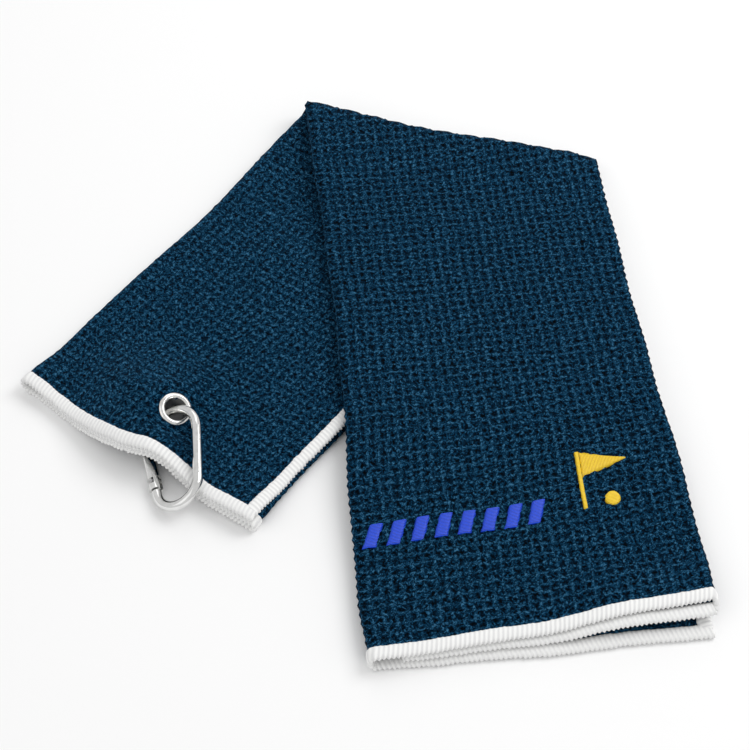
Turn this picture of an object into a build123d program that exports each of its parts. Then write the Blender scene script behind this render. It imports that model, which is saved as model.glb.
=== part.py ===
from build123d import *
import os
from math import atan2, cos, pi, radians, sin, tan

# Golf towel: a waffle cloth folded in three along its length, riveted by one eyelet through all
# three layers, carrying a sprung carabiner, and folded once across on a slant so that it makes a V.
# Lengths are millimetres and angles are degrees.

# Cloth
towel_width = 400.0
towel_length = 508.0
cloth_thickness = 1.7
layer_pitch = 2.15          # from one folded layer to the next, where nothing presses on them
pressed_pitch = 1.8         # the same at the eyelet and at the clip end
edging_width = 6.0
inner_edge_gap = 12.0       # from the left fold to the free edge that lies inside
strip_width = towel_width / 3

# The slanted fold across the strip
fold_angle = 21.1
front_leg = 303.0           # along the left edge, from the fold to the front end
fold_gap = 0.3              # between the two halves where one lies on the other
clip_leg = towel_length - front_leg

# Eyelet
eyelet_from_end = 22.2
eyelet_across = 70.5
eyelet_tilt = 33.0          # leans across the strip, away from the left fold
eyelet_bore = 9.5
barrel_wall = 0.5
flange_diameter = 14.6
flange_thickness = 0.8
flange_shoulder = 0.7       # from the rim in to where the dome has risen its share
shoulder_share = 0.75
seat_clearance = 0.2        # cloth to flange, round the rim
mouth_radius = 1.2          # rounding from the bore to the flange's crown
curl_radius = 1.1           # rounding of the barrel's curled lower end
curl_drop = 0.7
curl_width = 1.0
washer_thickness = 0.6
washer_clearance = 0.05
washer_inset = 0.2          # the washer is this much smaller than the flange, at the radius
washer_chamfer = 0.3
clamp_thickness = 4.2       # the three layers squeezed between flange and washer

# Carabiner
wire = 4.2
bottom_radius = 10.2        # centreline radii of the two round ends
top_radius = 12.6
loop_straight = 23.6        # between the two centres, along the gate
loop_turn = 51.1            # from the clip leg's length to the loop's length
loop_tilt = 31.0            # the loop leans with its gate down
loop_at_eyelet = 20.5       # where the eyelet sits on the round top, from the loop's far end
loop_inset = 0.2            # the bore's middle lies this far inside the wire's centreline
loop_offset = 0.35          # and this far off the loop's plane, where the slanted wire has most room
gate_diameter = 5.8
floor_clearance = 0.05      # under the gate
gate_gap = 0.4              # between the gate's free end and the wire's nose
nose_end = 2.0              # straight wire past the bottom arc, up to the nose
slot_clearance = 0.2        # each side of a flat in its slot
flat_thickness = 1.8        # nose flat and hinge flat
flat_width = 3.2
nose_flat_length = 6.2
latch_pin_diameter = 1.6
latch_pin_from_nose = 4.6
latch_groove_clearance = 0.5
pivot_from_top = 3.4        # from the end of the wire's round top to the gate's pivot
pivot_pin_diameter = 2.0
pin_clearance = 0.05
hinge_flat_past_pivot = 1.7
plunger_diameter = 1.9
plunger_length = 4.0
plunger_gap = 0.05
spring_wire = 0.35
spring_length = 4.2
spring_turns = 6
flat_root = 0.5             # a flat starts this far inside the wire that carries it
hinge_slot_clearance = 1.0
latch_slot_clearance = 0.6
plunger_bore_lead = 0.5
pin_inset = 0.3             # a pin's end lies this far inside the gate

# Embroidery on the front leg
thread_height = 0.8
stripe_count = 8
stripe_width = 5.6
stripe_step = 9.2
stripe_height = 11.0
stripe_slant = 4.0
stripe_from_left = 6.0
stripe_from_end = 48.0
flag_from_left = 88.0
flag_from_end = 51.0
flag_pole = 28.0
flag_pole_width = 1.8
flag_length = 20.0
flag_height = 13.0
ball_diameter = 6.5


# ---- places on the folded strip: along it from the fold's left end, across it from its left edge

turn = 2 * fold_angle
front_flat = strip_width / sin(radians(turn))   # the front leg lies on the clip leg this far, then slopes down
along_dir = Vector(-sin(radians(turn)), -cos(radians(turn)), 0)
across_dir = Vector(cos(radians(turn)), -sin(radians(turn)), 0)
stack = 2 * layer_pitch + cloth_thickness
fold_height = stack + fold_gap / 2


def clip_place(along, across, height):
    spot = along_dir * along + across_dir * across
    return Vector(spot.X, spot.Y, height)


def front_place(along, across, height):
    return Vector(across, -along, height)


def clip_fold(across):
    return -across * tan(radians(fold_angle))


def front_fold(across):
    return across * tan(radians(fold_angle))


# ---- the carabiner's loop, drawn flat: u runs to its bottom, v from the gate to the spine

taper = atan2(top_radius - bottom_radius, loop_straight)
spine_normal = (sin(2 * taper), cos(2 * taper))
gate_height = gate_diameter / 2 + floor_clearance
u_dir = along_dir.rotate(Axis.Z, loop_turn)
level_v = u_dir.rotate(Axis.Z, 90)
v_dir = level_v * cos(radians(loop_tilt)) + Vector(0, 0, sin(radians(loop_tilt)))
loop_normal = u_dir.cross(v_dir)
seat_radius = top_radius - loop_inset
seat_u = -loop_straight - seat_radius * cos(radians(loop_at_eyelet))
seat_v = top_radius + seat_radius * sin(radians(loop_at_eyelet))
eyelet_height = gate_height + seat_v * v_dir.Z + loop_offset * loop_normal.Z
eyelet_centre = clip_place(clip_leg - eyelet_from_end, eyelet_across, eyelet_height)
loop_origin = eyelet_centre - u_dir * seat_u - v_dir * seat_v - loop_normal * loop_offset
loop_plane = Plane(origin=loop_origin, x_dir=u_dir, z_dir=loop_normal)
eyelet_axis = across_dir * sin(radians(eyelet_tilt)) + Vector(0, 0, cos(radians(eyelet_tilt)))
eyelet_plane = Plane(origin=eyelet_centre, x_dir=along_dir, z_dir=eyelet_axis)

# The cloth rises over the carabiner as a low ridge, which falls away to the right at the eyelet
ridge_under_front = 12.0    # the ridge starts this far under the front leg's left edge
ridge_top_from_end = 25.0
seat_rise = 1.9             # the ridge's underside passes this far above the eyelet's middle
ridge_start = strip_width / tan(radians(turn)) - ridge_under_front
ridge_top_at = clip_leg - ridge_top_from_end
ridge_height = eyelet_height + seat_rise
ridge_end_height = 10.5
ridge_left = 50.0           # across, from the left foot to the crest
ridge_right = 21.0          # from the crest to the right foot
crest_from_eyelet = 9.5
crest_drift = 14.0          # how far the crest moves right on its way to the end
foot_share = 0.3            # the right foot's height, as a share of the crest's


def smooth(share):
    share = min(max(share, 0.0), 1.0)
    return (1 - cos(pi * share)) / 2


def clip_underside(along, across):
    past_top = min(max((along - ridge_top_at) / (clip_leg - ridge_top_at), 0.0), 1.0)
    crest = ridge_height * smooth((along - ridge_start) / (ridge_top_at - ridge_start))
    crest -= (ridge_height - ridge_end_height) * past_top
    crest_across = eyelet_across - crest_from_eyelet + crest_drift * past_top
    foot_across = crest_across + ridge_right
    if across <= crest_across:
        return crest * (1 - smooth((crest_across - across) / ridge_left))
    if across <= foot_across:
        return crest * (1 - (1 - foot_share) * smooth((across - crest_across) / ridge_right))
    return crest * foot_share * (strip_width - across) / (strip_width - foot_across)


def clip_pitch(along):
    share = smooth((along - ridge_start) / (ridge_top_at - ridge_start))
    return layer_pitch + (pressed_pitch - layer_pitch) * share


def front_underside(along, across):
    lift = stack + fold_gap
    return lift * min((front_leg - along) / (front_leg - front_flat), 1.0)


def front_pitch(along):
    return layer_pitch


# ---- closed solids skinned over a row of like outlines

def panel(corners):
    return Face(Wire.make_polygon(corners, close=True))


def skin(rows):
    """Close a tube of outlines with flat facets, two triangles where four corners aren't level.

    Both faces of a layer are split along the same diagonal, so that layers stay parallel."""
    faces = [panel(rows[0]), panel(rows[-1])]
    for near, far in zip(rows, rows[1:]):
        for i in range(len(near)):
            j = (i + 1) % len(near)
            a, b, c, d = near[i], near[j], far[j], far[i]
            off_plane = abs((b - a).cross(c - a).dot(d - a))
            if off_plane < 1e-6:
                faces.append(panel([a, b, c, d]))
            elif b.X > a.X:
                faces += [panel([a, b, c]), panel([a, c, d])]
            else:
                faces += [panel([b, c, d]), panel([b, d, a])]
    solid = Solid(Shell(faces))
    if solid.volume < 0:
        solid = Solid(Shell([-face for face in faces]))
    return solid


def run(start, end, pitches, thicknesses, stations):
    """Points of one straight stretch of an outline, with a point at each station on the way."""
    low, high = min(start, end), max(start, end)
    inner = [s for s in stations if low + 0.2 < s < high - 0.2]
    if start > end:
        inner.reverse()
    return [(s, pitches, thicknesses) for s in [start] + inner + [end]]


def folded_outline(free_edge, inner_edge, stations):
    """The strip cut across: outer panel, middle panel folded in at the right, free panel over both.

    Each point is its place across, then its height as a count of pitches and of thicknesses."""
    t, w = cloth_thickness, strip_width
    points = run(0, w, 0, 0, stations)
    points += run(w, inner_edge, 1, 1, stations)
    points += run(inner_edge, w - t, 1, 0, stations)
    points += run(w - t, t, 0, 1, stations)
    points += run(t, free_edge, 2, 0, stations)
    points += run(free_edge, 0, 2, 1, stations)
    return points


def bar_outline(left, right, layer, stations):
    return run(left, right, layer, 0, stations) + run(right, left, layer, 1, stations)


def leg_solid(leg, outline, alongs):
    """Skin an outline along a leg; None among the alongs stands for the slanted fold line."""
    rows = []
    for along in alongs:
        row = []
        for across, pitches, thicknesses in outline:
            spot = leg["fold"](across) if along is None else along
            pitch = leg["pitch"](spot)
            height = pitches * pitch + thicknesses * cloth_thickness
            if leg["flipped"]:
                height = 2 * pitch + cloth_thickness - height
            row.append(leg["place"](spot, across, leg["underside"](spot, across) + height))
        rows.append(row)
    return skin(rows)


clip_alongs = [None, ridge_start] + [
    ridge_start + (clip_leg - edging_width - ridge_start) * i / 9 for i in range(1, 10)]
crest = eyelet_across - crest_from_eyelet
ridge_stations = (-34, -24, -15, -7, 0, 4, 8, 12, 17, 21, 25, 30, 42)    # across, from the crest
clip_stations = [edging_width, inner_edge_gap, inner_edge_gap + edging_width]
clip_stations += [crest + offset for offset in ridge_stations]
clip_stations += [strip_width - 2 * edging_width, strip_width - edging_width]
clip_side = {"place": clip_place, "fold": clip_fold, "underside": clip_underside,
             "pitch": clip_pitch, "flipped": False, "alongs": clip_alongs,
             "end": clip_leg, "stations": clip_stations}
front_side = {"place": front_place, "fold": front_fold, "underside": front_underside,
              "pitch": front_pitch, "flipped": True,
              "alongs": [None, front_flat, front_leg - edging_width],
              "end": front_leg, "stations": []}
free_edge = strip_width - edging_width
inner_edge = inner_edge_gap + edging_width


def cloth_half(leg):
    outline = folded_outline(free_edge, inner_edge, leg["stations"])
    return leg_solid(leg, outline, leg["alongs"])


def end_edging(leg):
    outline = folded_outline(strip_width, inner_edge_gap, leg["stations"])
    return leg_solid(leg, outline, [leg["alongs"][-1], leg["end"]])


def side_edging(leg):
    outline = bar_outline(free_edge, strip_width, 2, leg["stations"])
    return leg_solid(leg, outline, leg["alongs"])


def inner_edging(leg):
    outline = bar_outline(inner_edge_gap, inner_edge, 1, leg["stations"])
    return leg_solid(leg, outline, leg["alongs"])


# ---- the band that turns over the slanted fold, as half rings about the fold line

def fold_ring(layer, left, right):
    """Half a ring of one layer; layer 0 is the outer panel, and 2 lies against the fold line."""
    inside = fold_gap / 2 + (2 - layer) * layer_pitch
    return fold_sector(inside, inside + cloth_thickness, left, right)


def fold_sector(inside, outside, left, right):
    stretch = 1 / cos(radians(fold_angle))
    half = Circle(outside) - Circle(inside)
    half = half & (Pos(outside, 0) * Rectangle(2 * outside, 2 * outside))
    ring = extrude(half, amount=(right - left) * stretch)
    slant = Vector(cos(radians(fold_angle)), -sin(radians(fold_angle)), 0)
    outward = Vector(sin(radians(fold_angle)), cos(radians(fold_angle)), 0)
    start = slant * (left * stretch) + Vector(0, 0, fold_height)
    return Plane(origin=start, x_dir=outward, z_dir=slant).location * ring


def fold_band():
    t, w = cloth_thickness, strip_width
    outer_radius = fold_height
    band = fold_ring(0, 0, w) + fold_ring(1, inner_edge, w) + fold_ring(2, 0, free_edge)
    band += fold_sector(fold_gap / 2, outer_radius, 0, t)
    band += fold_sector(fold_gap / 2 + layer_pitch, outer_radius, w - t, w)
    return band


# ---- eyelet: flange and barrel in one, curled out over a washer

def turned(outline):
    return revolve(make_face(outline), Axis.Z)


def rz(radius, height):
    return (radius, 0, height)


def quarter(centre, radius, rises):
    """A rounded mouth from the bore's wall out to a face, above its centre or below it."""
    wall, face = rz(centre[0] - radius, centre[1]), rz(centre[0], centre[1] + rises * radius)
    middle = rz(centre[0] - radius * cos(pi / 4), centre[1] + rises * radius * sin(pi / 4))
    return ThreePointArc(wall, middle, face)


def make_eyelet():
    bore = eyelet_bore / 2
    outside = bore + barrel_wall
    top = clamp_thickness / 2
    low = -top - washer_thickness
    rim = flange_diameter / 2
    crown = top + flange_thickness
    upper = (bore + mouth_radius, crown - mouth_radius)
    lower = (bore + curl_radius, low - curl_drop + curl_radius)
    curl = outside + curl_width
    dome = ThreePointArc(rz(upper[0], crown), rz(rim - flange_shoulder, top + shoulder_share * flange_thickness), rz(rim, top))
    outline = [Line(rz(bore, lower[1]), rz(bore, upper[1])), quarter(upper, mouth_radius, 1), dome,
               Line(rz(rim, top), rz(outside, top)), Line(rz(outside, top), rz(outside, low)),
               Line(rz(outside, low), rz(curl, low)), Line(rz(curl, low), rz(lower[0], low - curl_drop)),
               quarter(lower, curl_radius, -1)]
    return eyelet_plane.location * turned(Wire(outline))


def make_washer():
    inside = eyelet_bore / 2 + barrel_wall + washer_clearance
    high = -clamp_thickness / 2
    rim = flange_diameter / 2 - washer_inset
    points = [rz(inside, high - washer_thickness), rz(rim - washer_chamfer, high - washer_thickness),
              rz(rim, high - washer_chamfer), rz(rim, high), rz(inside, high)]
    return eyelet_plane.location * turned(Polyline(*points, close=True))


def pierced(cloth):
    """Cut the barrel's hole and the seats that flange and washer press into the cloth."""
    reach = 30.0
    seat = flange_diameter / 2 + seat_clearance
    half = clamp_thickness / 2
    tool = Cylinder(eyelet_bore / 2 + barrel_wall, reach)
    tool += Pos(0, 0, half + reach / 2) * Cylinder(seat, reach)
    tool += Pos(0, 0, -half - reach / 2) * Cylinder(seat, reach)
    return cloth - eyelet_plane.location * tool


# ---- carabiner

bottom_centre = (0, bottom_radius)
top_centre = (-loop_straight, top_radius)
pivot_u = -loop_straight + pivot_from_top
nose_u = -nose_end
latch_u = nose_u - latch_pin_from_nose
gate_end_u = nose_u - gate_gap
gate_radius = gate_diameter / 2
slot = flat_thickness + 2 * slot_clearance
hinge_flat_end = pivot_u + hinge_flat_past_pivot
hinge_slot_end = hinge_flat_end + hinge_slot_clearance
latch_slot_end = nose_u - nose_flat_length - latch_slot_clearance
plunger_start = hinge_flat_end + plunger_gap
bore_end = plunger_start + plunger_length + spring_length


def on_circle(centre, radius, normal):
    return (centre[0] + radius * normal[0], centre[1] + radius * normal[1])


def wire_path():
    middle_bottom = (cos(taper), -sin(taper))
    middle_top = (-cos(taper), sin(taper))
    spine_low = on_circle(bottom_centre, bottom_radius, spine_normal)
    spine_high = on_circle(top_centre, top_radius, spine_normal)
    return Wire([
        Line((nose_u, 0), (0, 0)),
        ThreePointArc((0, 0), on_circle(bottom_centre, bottom_radius, middle_bottom), spine_low),
        Line(spine_low, spine_high),
        ThreePointArc(spine_high, on_circle(top_centre, top_radius, middle_top), (-loop_straight, 0))])


def flat_between(start_u, end_u):
    length = abs(end_u - start_u)
    return Pos((start_u + end_u) / 2, 0, 0) * Box(length, flat_width, flat_thickness)


def across_pin(u, diameter, length):
    return Pos(u, 0, 0) * Cylinder(diameter / 2, length)


def along_rod(start_u, end_u, diameter):
    rod = Rot(0, 90, 0) * Cylinder(diameter / 2, abs(end_u - start_u))
    return Pos((start_u + end_u) / 2, 0, 0) * rod


def make_carabiner_body():
    section = Plane(origin=(nose_u, 0, 0), z_dir=(1, 0, 0)) * Circle(wire / 2)
    body = sweep(section, path=wire_path())
    body += flat_between(nose_u + flat_root, nose_u - nose_flat_length)
    body += flat_between(-loop_straight - flat_root, hinge_flat_end)
    body -= across_pin(latch_u, latch_pin_diameter, wire)
    body -= across_pin(pivot_u, pivot_pin_diameter, wire)
    return loop_plane.location * body


def make_gate():
    gate = along_rod(pivot_u, gate_end_u, gate_diameter) + Pos(pivot_u, 0, 0) * Sphere(gate_radius)
    wide = 2 * gate_diameter
    latch_slot = gate_end_u - latch_slot_end
    gate -= Pos(latch_slot_end + latch_slot / 2 + 1, 0, 0) * Box(latch_slot + 2, wide, slot)
    hinge_slot = hinge_slot_end - pivot_u + gate_radius
    gate -= Pos(hinge_slot_end - hinge_slot / 2 - 1, 0, 0) * Box(hinge_slot + 2, wide, slot)
    groove = latch_pin_diameter + 2 * latch_groove_clearance
    gate -= Pos(latch_u, groove / 2 - wide / 2, 0) * Box(groove, wide, wide)
    gate -= across_pin(pivot_u, pivot_pin_diameter + 2 * pin_clearance, wide)
    gate -= along_rod(hinge_slot_end - plunger_bore_lead, bore_end, plunger_diameter + 4 * pin_clearance)
    return loop_plane.location * gate


def make_gate_spring():
    coil = plunger_diameter / 2 - spring_wire / 2 - pin_clearance
    height = spring_length - 2 * spring_wire
    path = Helix(pitch=height / spring_turns, height=height, radius=coil)
    section = Plane(origin=path @ 0, z_dir=path % 0) * Circle(spring_wire / 2)
    spring = sweep(section, path=path, is_frenet=True)
    start = plunger_start + plunger_length + spring_wire
    return loop_plane.location * Pos(start, 0, 0) * Rot(0, 90, 0) * spring


# ---- embroidery, flat shapes laid on the sloping part of the front leg

def badge_plane():
    lift = stack + fold_gap
    slope = atan2(lift, front_leg - front_flat)
    return Plane(origin=(0, -front_leg, stack), x_dir=(1, 0, 0), z_dir=(0, -sin(slope), cos(slope)))


def thread_patch(outline, left, low):
    return extrude(Pos(left, low) * make_face(Polyline(*outline, close=True)), amount=thread_height)


def make_stripes():
    outline = [(0, 0), (stripe_width, 0), (stripe_width + stripe_slant, stripe_height),
               (stripe_slant, stripe_height)]
    patches = [thread_patch(outline, stripe_from_left + i * stripe_step, stripe_from_end)
               for i in range(stripe_count)]
    return badge_plane().location * Compound(patches)


def make_flag():
    pole = [(0, 0), (flag_pole_width, 0), (flag_pole_width, flag_pole), (0, flag_pole)]
    cloth = [(flag_pole_width, flag_pole), (flag_pole_width, flag_pole - flag_height),
             (flag_length, flag_pole - flag_height / 2)]
    flag = thread_patch(pole, flag_from_left, flag_from_end)
    flag += thread_patch(cloth, flag_from_left, flag_from_end)
    ball_at = (flag_from_left + flag_length * 0.6, flag_from_end + ball_diameter / 2)
    ball = extrude(Pos(*ball_at) * Circle(ball_diameter / 2), amount=thread_height)
    return badge_plane().location * Compound([flag, ball])


pin_length = gate_diameter - 2 * pin_inset
parts = {
    "towel_clip_half": pierced(cloth_half(clip_side)),
    "towel_front_half": cloth_half(front_side),
    "towel_fold": fold_band(),
    "clip_end_edging": end_edging(clip_side),
    "front_end_edging": end_edging(front_side),
    "clip_half_side_edging": side_edging(clip_side),
    "front_half_side_edging": side_edging(front_side),
    "fold_side_edging": fold_ring(2, free_edge, strip_width),
    "clip_half_inner_edging": inner_edging(clip_side),
    "front_half_inner_edging": inner_edging(front_side),
    "fold_inner_edging": fold_ring(1, inner_edge_gap, inner_edge),
    "stripe_embroidery": make_stripes(),
    "flag_embroidery": make_flag(),
    "eyelet": make_eyelet(),
    "eyelet_washer": make_washer(),
    "carabiner_body": make_carabiner_body(),
    "carabiner_gate": make_gate(),
    "gate_pivot_pin": loop_plane.location * across_pin(pivot_u, pivot_pin_diameter, pin_length),
    "latch_pin": loop_plane.location * across_pin(latch_u, latch_pin_diameter, pin_length),
    "gate_plunger": loop_plane.location * along_rod(
        plunger_start, plunger_start + plunger_length, plunger_diameter),
    "gate_spring": make_gate_spring(),
}

# The origin goes to the middle of the underside of the whole object's box
box = Compound(list(parts.values())).bounding_box()
shift = Vector(-(box.min.X + box.max.X) / 2, -(box.min.Y + box.max.Y) / 2, -box.min.Z)

os.makedirs("parts", exist_ok=True)
for name, shape in parts.items():
    export_step(Location(shift) * shape, f"parts/{name}.step")


def tell(label, vector):
    print(label, [round(value, 4) for value in (vector.X, vector.Y, vector.Z)])


tell("size", box.size)
tell("fold hinge", Vector(0, 0, fold_height) + shift)
tell("fold axis", Vector(cos(radians(fold_angle)), -sin(radians(fold_angle)), 0))
tell("eyelet centre", eyelet_centre + shift)
tell("eyelet axis", eyelet_axis)
tell("gate pivot", loop_plane.from_local_coords(Vector(pivot_u, 0, 0)) + shift)
tell("loop normal", loop_normal)
tell("loop length direction", u_dir)
tell("loop across direction", v_dir)
tell("loop origin", loop_origin + shift)
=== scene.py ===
import math
import bpy
import bmesh
import numpy as np
from mathutils import Matrix, Vector


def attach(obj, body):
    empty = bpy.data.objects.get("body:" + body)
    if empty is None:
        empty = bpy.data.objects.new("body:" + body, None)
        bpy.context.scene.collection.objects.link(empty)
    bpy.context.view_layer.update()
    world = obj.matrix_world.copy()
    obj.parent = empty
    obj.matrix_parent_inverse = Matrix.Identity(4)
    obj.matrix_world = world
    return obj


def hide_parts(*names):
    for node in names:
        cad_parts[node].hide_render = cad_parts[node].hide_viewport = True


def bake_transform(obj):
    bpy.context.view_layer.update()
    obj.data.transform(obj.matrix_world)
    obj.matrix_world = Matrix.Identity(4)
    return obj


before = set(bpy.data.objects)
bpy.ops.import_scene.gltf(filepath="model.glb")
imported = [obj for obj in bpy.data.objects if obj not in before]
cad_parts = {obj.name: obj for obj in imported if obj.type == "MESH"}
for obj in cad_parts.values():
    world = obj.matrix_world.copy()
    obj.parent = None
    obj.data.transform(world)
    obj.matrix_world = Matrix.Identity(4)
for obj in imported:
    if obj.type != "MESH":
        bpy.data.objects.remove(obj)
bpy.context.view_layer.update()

rng = np.random.default_rng(7)
mm = 0.001


# The folded strip, in millimetres: along each leg from the fold, and across it from its left side.
# A pair named Span or Across is where something begins and where it is complete.
strip = {
    "width": 133.33,          # one panel, a third of the towel
    "length": 508.0,
    "clipLeg": 205.0,
    "frontLeg": 303.0,
    "foldAngle": 21.1,        # half of the angle between the legs
    "foldSpot": (1.078, 148.631),
    "thickness": 1.7,
    "pitch": 2.15,            # layer to layer
    "pressedPitch": 1.8,      # and at the clip end
    "foldGap": 0.3,
    "foldReach": 34.0,        # the cloth gives this far each side of the fold line
    "frontFlat": 198.5,       # the front leg lies level this far, then slopes down
    "innerEdge": 12.0,        # the folded-in side stops this far from the left side
    "freeInset": 0.3,
}
openFold = {                  # the fold stands open at its left end
    "width": 34.0,
    "clipBulge": 5.4,         # its left side swings out, more on the clip leg
    "frontBulge": 2.3,
    "startSpan": (-60.0, -20.0),
    "endSpan": (-12.0, 93.0),
    "frontSpan": (10.0, 70.0),
    "lift": 1.2,
    "puff": 2.0,
    "puffWidth": 48.0,
    "puffPower": 1.6,
    "puffRadius": 3.0,        # a tighter bend than this puffs less
    "puffSpan": (20.0, 90.0),
    "pinch": 1.0,             # and it is pressed flat at its right end
    "pinchAcross": (118.0, 133.0),
}
clipEnd = {
    "longer": (0.6, 5.6, 1.2),    # past the leg's length: left, middle and right
    "middle": 0.45,               # where that middle is, as a share of the width
    "longerSpan": (20.0, 170.0),
    "inset": (2.3, 1.0),          # the right side narrows, and the free hem a little more
    "insetAcross": (80.0, 133.0),
    "insetSpan": (-30.0, 30.0),
    "cornerIn": 2.2,              # the left corner pulls in
    "cornerWidth": 45.0,
    "cornerSpan": (110.0, 200.0),
    "mouthSpan": (178.0, 200.0),  # the layers part, most at the two corners
    "mouthRise": 0.35,
    "mouthPitch": 0.55,
    "mouthCorner": 0.9,
    "leftCorner": 24.0,
    "rightCorner": (104.0, 130.0),
}
gateRoom = {                  # over the gate the clip end stands back and up, so the gate can open
    "spot": 86.0,
    "halfWidth": 24.0,
    "back": 3.1,
    "backSpan": (150.0, 200.0),
    "lift": 1.9,
    "liftSpan": (186.0, 202.0),
}
frontEnd = {
    "slip": ((8.0, -4.0), (7.6, 1.2), (8.0, 7.6)),    # past the end, left and right, for each layer
    "slipFrom": 60.0,
    "flare": (-3.4, 2.6),         # it spreads left and right
    "flareSpan": (185.0, 250.0),
    "flareBack": 0.45,            # and draws in again at the very end
    "flareBackSpan": (275.0, 303.0),
    "lowerIn": 4.4,               # the right side of the lowest panel lies this much further in
    "mouth": 34.0,                # the layers part over this length
    "mouthRise": 0.45,
    "mouthPitch": 0.62,
    "gapeRight": 2.9,             # the upper two rise more, most of all at the right
    "gapeAcross": (62.0, 102.0),
    "gapeLeft": 0.6,
    "gapeWidth": 20.0,
}
eye = {
    "centre": np.array((-69.4861, -34.1442, 11.9761)),
    "axis": np.array((0.4035, -0.3658, 0.8387)),
    "hole": 6.0,
    "held": 8.2,              # cloth is flat under the flange out to here
    "loose": 16.0,            # and free from here on
    "squeezed": 1.25,         # layer spacing between flange and washer
    "near": 8.0,              # cloth further than this along the axis is not pierced
}
ridge = {                     # the clip end rides up over the clip
    "start": 135.05,
    "topAt": 180.0,
    "height": 13.876,
    "endHeight": 8.6,
    "crest": 61.0,
    "drift": 14.0,
    "left": 50.0,
    "right": 21.0,
    "footShare": 0.3,
}

turn = math.radians(2 * strip["foldAngle"])
tanFold = math.tan(turn / 2)
alongDir = np.array((-math.sin(turn), -math.cos(turn)))
acrossDir = np.array((math.cos(turn), -math.sin(turn)))
slantDir = np.array((math.cos(turn / 2), -math.sin(turn / 2)))
outDir = np.array((math.sin(turn / 2), math.cos(turn / 2)))
stackHeight = 2 * strip["pitch"] + strip["thickness"]
foldHeight = stackHeight + strip["foldGap"] / 2


def ease(share):
    share = np.clip(share, 0, 1)
    return (1 - np.cos(np.pi * share)) / 2


def eased(value, span):
    return ease((value - span[0]) / (span[1] - span[0]))


def mixed(share, low, high):
    return low + (high - low) * share


# Height of the clip leg's underside.
def clipUnderside(along, across):
    pastTop = np.clip((along - ridge["topAt"]) / (strip["clipLeg"] - ridge["topAt"]), 0, 1)
    crest = ridge["height"] * eased(along, (ridge["start"], ridge["topAt"]))
    crest = crest - (ridge["height"] - ridge["endHeight"]) * pastTop
    crestAt = ridge["crest"] + ridge["drift"] * pastTop
    foot = crestAt + ridge["right"]
    leftSide = crest * (1 - ease((crestAt - across) / ridge["left"]))
    rightSide = crest * (1 - (1 - ridge["footShare"]) * ease((across - crestAt) / ridge["right"]))
    tail = crest * ridge["footShare"] * np.clip((strip["width"] - across) / (strip["width"] - foot), 0, 1)
    return np.where(across <= crestAt, leftSide, np.where(across <= foot, rightSide, tail))


# Middle of the cloth on the clip leg; layer 0 is the outer panel, 2 the free one on top.
def clipPoint(along, across, layer):
    share = np.clip(across / strip["width"], 0, 1)
    left, middle, right = clipEnd["longer"]
    toMiddle = mixed(ease(share / clipEnd["middle"]), left, middle)
    toRight = mixed(eased(share, (clipEnd["middle"], 1.0)), middle, right)
    longer = np.where(share < clipEnd["middle"], toMiddle, toRight)
    over = ease(1 - np.abs(across - gateRoom["spot"]) / gateRoom["halfWidth"])
    overGate = gateRoom["back"] * over * eased(along, gateRoom["backSpan"])
    slip = longer * eased(along, clipEnd["longerSpan"]) - overGate
    both, free = clipEnd["inset"]
    inset = both + free * np.clip(layer - 1, 0, 1)
    across = across - inset * eased(across, clipEnd["insetAcross"]) * eased(along, clipEnd["insetSpan"])
    opening = ease(1 - across / openFold["width"]) * eased(along, openFold["startSpan"])
    opening = opening * (1 - eased(along, openFold["endSpan"]))
    across = across - openFold["clipBulge"] * opening
    atCorner = ease(1 - across / clipEnd["cornerWidth"])
    across = across + clipEnd["cornerIn"] * atCorner * eased(along, clipEnd["cornerSpan"])
    near = eased(along, clipEnd["mouthSpan"])
    low = clipUnderside(along, across)
    squeeze = eased(along, (ridge["start"], ridge["topAt"]))
    pitch = mixed(squeeze, strip["pitch"], strip["pressedPitch"])
    corner = ease(1 - across / clipEnd["leftCorner"]) + eased(across, clipEnd["rightCorner"])
    pitch = pitch + near * (clipEnd["mouthPitch"] + clipEnd["mouthCorner"] * corner)
    place = np.outer(along + slip, alongDir) + np.outer(across, acrossDir) + np.array(strip["foldSpot"])
    height = low + layer * pitch + strip["thickness"] / 2
    height = height + clipEnd["mouthRise"] * near + openFold["lift"] * layer * opening
    height = height + gateRoom["lift"] * over * eased(along, gateRoom["liftSpan"])
    point = np.column_stack((place, height))
    off = point - eye["centre"]
    rise = off @ eye["axis"]
    flat = off - np.outer(rise, eye["axis"])
    reach = np.linalg.norm(flat, axis=1)
    hold = 1 - eased(reach, (eye["held"], eye["loose"]))
    target = (layer - 1) * eye["squeezed"]
    return point + np.outer(hold * (target - rise), eye["axis"])


# How much wider the fold stands than the stack of cloth in it.
def puffOf(across):
    wide = openFold["puff"] * np.clip(1 - across / openFold["puffWidth"], 0, 1) ** openFold["puffPower"]
    return wide - openFold["pinch"] * eased(across, openFold["pinchAcross"])


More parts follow.
